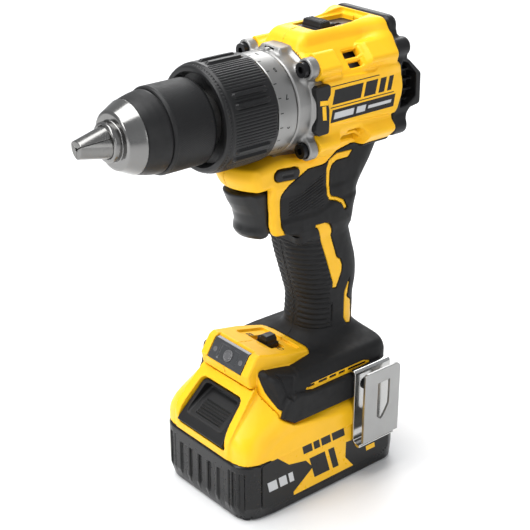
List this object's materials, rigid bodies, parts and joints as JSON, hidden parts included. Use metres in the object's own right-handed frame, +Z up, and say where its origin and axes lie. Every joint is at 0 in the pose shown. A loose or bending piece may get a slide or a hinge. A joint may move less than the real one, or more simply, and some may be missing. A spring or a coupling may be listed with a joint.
{
  "type": "cordless drill",
  "caption": "Cordless hammer drill driver with a keyless three-jaw chuck, clutch collar, planetary gearbox, trigger grip, belt hook and slide-on battery pack.",
  "frame": {"origin": "centre of the battery's bottom face, on which the drill stands", "axes": "+X along the spindle towards the chuck's nose, +Y to the tool's left, +Z up"},
  "size_m": [0.1916, 0.0823, 0.2488],
  "materials": {
    "yellow_nylon": "satin, fine moulded grain",
    "soft_grip": "matte soft-touch",
    "black_nylon": "matte, fine moulded grain",
    "dark_screws": "black oxide",
    "cast_alloy": "satin cast",
    "stator_iron": "laminated",
    "copper_wire": "enamelled",
    "bright_steel": "turned and polished",
    "gear_steel": "machined",
    "spring_steel": "drawn wire",
    "clear_lens": "frosted clear",
    "circuit_board": "satin",
    "insert_brass": "machined",
    "trigger_grey": "matte",
    "cell_wrap": "glossy sleeve"
  },
  "bodies": {
    "housing": {"left_housing": "yellow_nylon", "right_housing": "yellow_nylon", "left_grip": "soft_grip", "right_grip": "soft_grip", "rear_cap": "black_nylon", "rear_cap_screws": "dark_screws", "gearcase": "cast_alloy", "gearcase_screws": "dark_screws", "side_badges": "soft_grip", "housing_screws": "dark_screws", "motor_stator": "stator_iron", "stator_coils": "copper_wire", "motor_bearings": "bright_steel", "ring_gear_1": "gear_steel", "spindle_bearing": "bright_steel", "trigger_switch": "black_nylon", "control_module": "black_nylon", "terminal_block": "black_nylon", "light_lens": "clear_lens", "light_board": "circuit_board", "belt_hook": "bright_steel", "belt_hook_screw": "dark_screws", "threaded_inserts": "insert_brass", "trigger_spring": "spring_steel", "clutch_spring": "spring_steel"},
    "trigger": {"trigger": "trigger_grey"},
    "direction_button": {"direction_button": "black_nylon"},
    "speed_selector": {"speed_selector": "black_nylon"},
    "shift_ring": {"shift_fork": "bright_steel", "ring_gear_2": "gear_steel"},
    "clutch_ring": {"clutch_collar": "black_nylon", "clutch_scale": "cast_alloy"},
    "clutch_nut": {"clutch_nut": "bright_steel"},
    "spindle": {"spindle": "bright_steel", "chuck_body": "bright_steel", "chuck_screw": "dark_screws"},
    "chuck_sleeve": {"chuck_sleeve": "black_nylon", "chuck_nut": "bright_steel"},
    "jaw_1": {"jaw_1": "bright_steel"},
    "jaw_2": {"jaw_2": "bright_steel"},
    "jaw_3": {"jaw_3": "bright_steel"},
    "rotor": {"rotor": "stator_iron", "motor_shaft": "bright_steel", "fan": "black_nylon"},
    "carrier_1": {"carrier_1": "gear_steel"},
    "planet_1a": {"planet_1a": "gear_steel"},
    "planet_1b": {"planet_1b": "gear_steel"},
    "planet_1c": {"planet_1c": "gear_steel"},
    "planet_2a": {"planet_2a": "gear_steel"},
    "planet_2b": {"planet_2b": "gear_steel"},
    "planet_2c": {"planet_2c": "gear_steel"},
    "light_switch": {"light_switch": "black_nylon"},
    "battery": {"battery_lower_case": "black_nylon", "battery_upper_case": "yellow_nylon", "battery_cells": "cell_wrap", "battery_board": "circuit_board", "battery_screws": "dark_screws", "latch_spring": "spring_steel"},
    "battery_latch": {"battery_latch": "black_nylon"}
  },
  "joints": [
    {"name": "trigger_pull", "type": "slide", "parent": "housing", "child": "trigger", "axis": [-1, 0, 0], "range_m": [0, 0.007], "stiffness_N_per_m": 700, "springref_m": -0.006, "deforming": ["trigger_spring"]},
    {"name": "direction_slide", "type": "slide", "parent": "housing", "child": "direction_button", "axis": [0, 1, 0], "range_m": [-0.003, 0.003]},
    {"name": "speed_select", "type": "slide", "parent": "housing", "child": "speed_selector", "axis": [-1, 0, 0], "range_m": [0, 0.016]},
    {"name": "ring_shift", "type": "slide", "parent": "housing", "child": "shift_ring", "axis": [-1, 0, 0], "range_m": [0, 0.0045]},
    {"name": "clutch_turn", "type": "hinge", "parent": "housing", "child": "clutch_ring", "pos_m": [0.04, 0, 0.2126], "axis": [1, 0, 0], "range_deg": [0, 300]},
    {"name": "clutch_nut_travel", "type": "slide", "parent": "housing", "child": "clutch_nut", "axis": [-1, 0, 0], "range_m": [0, 0.006], "deforming": ["clutch_spring"]},
    {"name": "spindle_spin", "type": "hinge", "parent": "housing", "child": "spindle", "pos_m": [0.08, 0, 0.2126], "axis": [1, 0, 0], "continuous": true},
    {"name": "sleeve_turn", "type": "hinge", "parent": "spindle", "child": "chuck_sleeve", "pos_m": [0.07, 0, 0.2126], "axis": [1, 0, 0], "range_deg": [0, 3600]},
    {"name": "jaw_1_travel", "type": "slide", "parent": "spindle", "child": "jaw_1", "axis": [-0.9659, 0, 0.2588], "range_m": [0, 0.0222]},
    {"name": "jaw_2_travel", "type": "slide", "parent": "spindle", "child": "jaw_2", "axis": [-0.9659, -0.2241, -0.1294], "range_m": [0, 0.0222]},
    {"name": "jaw_3_travel", "type": "slide", "parent": "spindle", "child": "jaw_3", "axis": [-0.9659, 0.2241, -0.1294], "range_m": [0, 0.0222]},
    {"name": "carrier_1_spin", "type": "hinge", "parent": "housing", "child": "carrier_1", "pos_m": [0.011, 0, 0.2126], "axis": [1, 0, 0], "continuous": true},
    {"name": "rotor_spin", "type": "hinge", "parent": "housing", "child": "rotor", "pos_m": [-0.026, 0, 0.2126], "axis": [1, 0, 0], "continuous": true},
    {"name": "planet_1a_spin", "type": "hinge", "parent": "carrier_1", "child": "planet_1a", "pos_m": [0.0055, 0.0108, 0.2126], "axis": [1, 0, 0], "continuous": true},
    {"name": "planet_1b_spin", "type": "hinge", "parent": "carrier_1", "child": "planet_1b", "pos_m": [0.0055, -0.0054, 0.22195], "axis": [1, 0, 0], "continuous": true},
    {"name": "planet_1c_spin", "type": "hinge", "parent": "carrier_1", "child": "planet_1c", "pos_m": [0.0055, -0.0054, 0.20325], "axis": [1, 0, 0], "continuous": true},
    {"name": "planet_2a_spin", "type": "hinge", "parent": "spindle", "child": "planet_2a", "pos_m": [0.018, 0.0108, 0.2126], "axis": [1, 0, 0], "continuous": true},
    {"name": "planet_2b_spin", "type": "hinge", "parent": "spindle", "child": "planet_2b", "pos_m": [0.018, -0.0054, 0.22195], "axis": [1, 0, 0], "continuous": true},
    {"name": "planet_2c_spin", "type": "hinge", "parent": "spindle", "child": "planet_2c", "pos_m": [0.018, -0.0054, 0.20325], "axis": [1, 0, 0], "continuous": true},
    {"name": "light_mode", "type": "slide", "parent": "housing", "child": "light_switch", "axis": [0, 1, 0], "range_m": [-0.004, 0.004]},
    {"name": "battery_slide", "type": "slide", "parent": "housing", "child": "battery", "axis": [1, 0, 0], "range_m": [0, 0.115]},
    {"name": "latch_press", "type": "slide", "parent": "battery", "child": "battery_latch", "axis": [-0.7561, 0, -0.6544], "range_m": [0, 0.0035], "stiffness_N_per_m": 1500, "springref_m": -0.003, "deforming": ["latch_spring"]}
  ],
  "couplings": [
    {"joint": "ring_shift", "follows": "speed_select", "ratio": 0.28125},
    {"joint": "clutch_nut_travel", "follows": "clutch_turn", "m_per_rad": 0.001144},
    {"joint": "jaw_1_travel", "follows": "sleeve_turn", "m_per_rad": 0.00035316},
    {"joint": "jaw_2_travel", "follows": "sleeve_turn", "m_per_rad": 0.00035316},
    {"joint": "jaw_3_travel", "follows": "sleeve_turn", "m_per_rad": 0.00035316},
    {"joint": "carrier_1_spin", "follows": "spindle_spin", "ratio": 4.5},
    {"joint": "rotor_spin", "follows": "spindle_spin", "ratio": 20.25},
    {"joint": "planet_1a_spin", "follows": "spindle_spin", "ratio": -12.6},
    {"joint": "planet_1b_spin", "follows": "spindle_spin", "ratio": -12.6},
    {"joint": "planet_1c_spin", "follows": "spindle_spin", "ratio": -12.6},
    {"joint": "planet_2a_spin", "follows": "spindle_spin", "ratio": -2.8},
    {"joint": "planet_2b_spin", "follows": "spindle_spin", "ratio": -2.8},
    {"joint": "planet_2c_spin", "follows": "spindle_spin", "ratio": -2.8}
  ]
}
